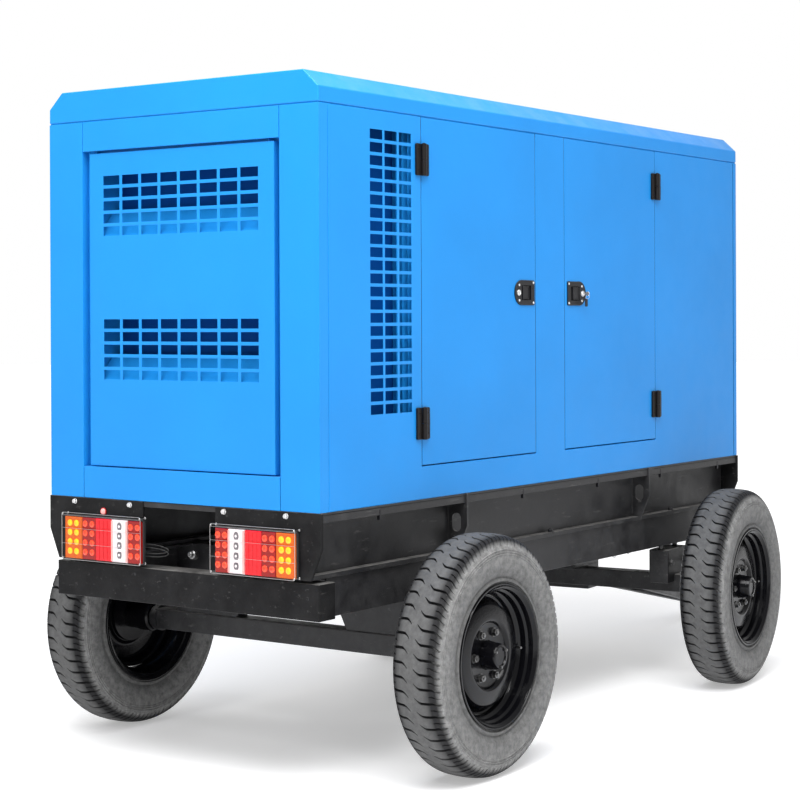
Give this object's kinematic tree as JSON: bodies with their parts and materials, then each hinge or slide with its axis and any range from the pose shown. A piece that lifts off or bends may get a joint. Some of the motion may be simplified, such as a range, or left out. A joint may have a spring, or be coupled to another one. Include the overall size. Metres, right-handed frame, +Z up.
{
  "type": "towable diesel generator",
  "caption": "Enclosed diesel generating set in a blue soundproof canopy with side doors and punched vents, on a four-wheel turntable trailer with a drawbar.",
  "frame": {"origin": "on the ground, under the middle of the overall box, from the tail lamps to the tow eye", "axes": "+X towing direction, +Y the left side, +Z up; the front axle is steered 5.5 degrees to the left at rest"},
  "size_m": [4.1036, 1.678, 2.148],
  "materials": {
    "canopy_paint": "satin powder coat, bright blue",
    "chassis_paint": "semi-gloss charcoal black",
    "tyre_rubber": "dusty matt rubber",
    "wheel_paint": "gloss black",
    "bare_steel": "oiled bare steel",
    "lamp_lens": "moulded red, amber and clear lens",
    "engine_paint": "satin grey enamel",
    "alternator_paint": "satin blue enamel",
    "radiator_aluminium": "satin, finned",
    "black_plastic": "matt moulded",
    "hinge_black": "satin black",
    "latch_plastic": "fine-grained black",
    "stop_red": "glossy red"
  },
  "bodies": {
    "trailer": {"chassis_frame": "chassis_paint", "skid_base": "chassis_paint", "fuel_tank": "chassis_paint", "turntable_ring": "bare_steel", "rear_axle": "chassis_paint", "left_tail_lamp": "lamp_lens", "right_tail_lamp": "lamp_lens", "roof_cap": "canopy_paint", "rear_frame": "canopy_paint", "rear_panel": "canopy_paint", "front_panel": "canopy_paint", "left_side": "canopy_paint", "right_side": "canopy_paint", "engine": "engine_paint", "alternator": "alternator_paint", "radiator": "radiator_aluminium", "air_cleaner": "black_plastic", "exhaust_silencer": "bare_steel", "battery": "black_plastic", "control_panel": "engine_paint", "left_rear_lower_hinge": "hinge_black", "left_rear_upper_hinge": "hinge_black", "left_front_lower_hinge": "hinge_black", "left_front_upper_hinge": "hinge_black", "right_rear_lower_hinge": "hinge_black", "right_rear_upper_hinge": "hinge_black", "right_front_lower_hinge": "hinge_black", "right_front_upper_hinge": "hinge_black"},
    "steering": {"turntable_frame": "chassis_paint", "front_axle": "chassis_paint", "drawbar_pin": "bare_steel"},
    "drawbar": {"drawbar": "chassis_paint", "tow_eye": "bare_steel"},
    "rear_left_wheel": {"rear_left_tyre": "tyre_rubber", "rear_left_rim": "wheel_paint", "rear_left_hub": "wheel_paint"},
    "rear_right_wheel": {"rear_right_tyre": "tyre_rubber", "rear_right_rim": "wheel_paint", "rear_right_hub": "wheel_paint"},
    "front_left_wheel": {"front_left_tyre": "tyre_rubber", "front_left_rim": "wheel_paint", "front_left_hub": "wheel_paint"},
    "front_right_wheel": {"front_right_tyre": "tyre_rubber", "front_right_rim": "wheel_paint", "front_right_hub": "wheel_paint"},
    "left_rear_door": {"left_rear_door": "canopy_paint", "left_rear_latch_housing": "latch_plastic"},
    "left_rear_latch": {"left_rear_latch_paddle": "latch_plastic"},
    "left_front_door": {"left_front_door": "canopy_paint", "left_front_latch_housing": "latch_plastic"},
    "left_front_latch": {"left_front_latch_paddle": "latch_plastic"},
    "right_rear_door": {"right_rear_door": "canopy_paint", "right_rear_latch_housing": "latch_plastic"},
    "right_rear_latch": {"right_rear_latch_paddle": "latch_plastic"},
    "right_front_door": {"right_front_door": "canopy_paint", "right_front_latch_housing": "latch_plastic"},
    "right_front_latch": {"right_front_latch_paddle": "latch_plastic"},
    "cooling_fan": {"cooling_fan": "black_plastic"},
    "emergency_stop": {"emergency_stop": "stop_red"}
  },
  "joints": [
    {"name": "steer", "type": "hinge", "parent": "trailer", "child": "steering", "pos_m": [0.29817, 0, 0.5], "axis": [0, 0, 1], "range_deg": [-23.5, 12.5]},
    {"name": "drawbar_lift", "type": "hinge", "parent": "steering", "child": "drawbar", "pos_m": [0.8954, 0.05751, 0.275], "axis": [0.0958, -0.9954, 0], "range_deg": [0, 86]},
    {"name": "rear_left_wheel_spin", "type": "hinge", "parent": "trailer", "child": "rear_left_wheel", "pos_m": [-1.44483, 0.724, 0.375], "axis": [0, 1, 0], "continuous": true},
    {"name": "rear_right_wheel_spin", "type": "hinge", "parent": "trailer", "child": "rear_right_wheel", "pos_m": [-1.44483, -0.724, 0.375], "axis": [0, 1, 0], "continuous": true},
    {"name": "front_left_wheel_spin", "type": "hinge", "parent": "steering", "child": "front_left_wheel", "pos_m": [0.22877, 0.72067, 0.375], "axis": [-0.0958, 0.9954, 0], "continuous": true},
    {"name": "front_right_wheel_spin", "type": "hinge", "parent": "steering", "child": "front_right_wheel", "pos_m": [0.36756, -0.72067, 0.375], "axis": [-0.0958, 0.9954, 0], "continuous": true},
    {"name": "left_rear_door_swing", "type": "hinge", "parent": "trailer", "child": "left_rear_door", "pos_m": [-1.48783, 0.561, 1.5], "axis": [0, 0, 1], "range_deg": [0, 110]},
    {"name": "left_rear_latch_pull", "type": "hinge", "parent": "left_rear_door", "child": "left_rear_latch", "pos_m": [-0.89533, 0.55, 1.5025], "axis": [0, 0, 1], "range_deg": [0, 35], "stiffness_Nm_per_rad": 0.6, "springref_deg": -17.19},
    {"name": "left_front_door_swing", "type": "hinge", "parent": "trailer", "child": "left_front_door", "pos_m": [0.05517, 0.561, 1.5], "axis": [0, 0, -1], "range_deg": [0, 110]},
    {"name": "left_front_latch_pull", "type": "hinge", "parent": "left_front_door", "child": "left_front_latch", "pos_m": [-0.52433, 0.55, 1.5025], "axis": [0, 0, -1], "range_deg": [0, 35], "stiffness_Nm_per_rad": 0.6, "springref_deg": -17.19},
    {"name": "right_rear_door_swing", "type": "hinge", "parent": "trailer", "child": "right_rear_door", "pos_m": [-1.48783, -0.561, 1.5], "axis": [0, 0, -1], "range_deg": [0, 110]},
    {"name": "right_rear_latch_pull", "type": "hinge", "parent": "right_rear_door", "child": "right_rear_latch", "pos_m": [-0.89533, -0.55, 1.5025], "axis": [0, 0, -1], "range_deg": [0, 35], "stiffness_Nm_per_rad": 0.6, "springref_deg": -17.19},
    {"name": "right_front_door_swing", "type": "hinge", "parent": "trailer", "child": "right_front_door", "pos_m": [0.05517, -0.561, 1.5], "axis": [0, 0, 1], "range_deg": [0, 110]},
    {"name": "right_front_latch_pull", "type": "hinge", "parent": "right_front_door", "child": "right_front_latch", "pos_m": [-0.52433, -0.55, 1.5025], "axis": [0, 0, 1], "range_deg": [0, 35], "stiffness_Nm_per_rad": 0.6, "springref_deg": -17.19},
    {"name": "fan_spin", "type": "hinge", "parent": "trailer", "child": "cooling_fan", "pos_m": [0.13817, 0, 1.38], "axis": [1, 0, 0], "continuous": true},
    {"name": "emergency_stop_push", "type": "slide", "parent": "trailer", "child": "emergency_stop", "axis": [0, -1, 0], "range_m": [0, 0.005], "stiffness_N_per_m": 600, "springref_m": -0.002}
  ]
}
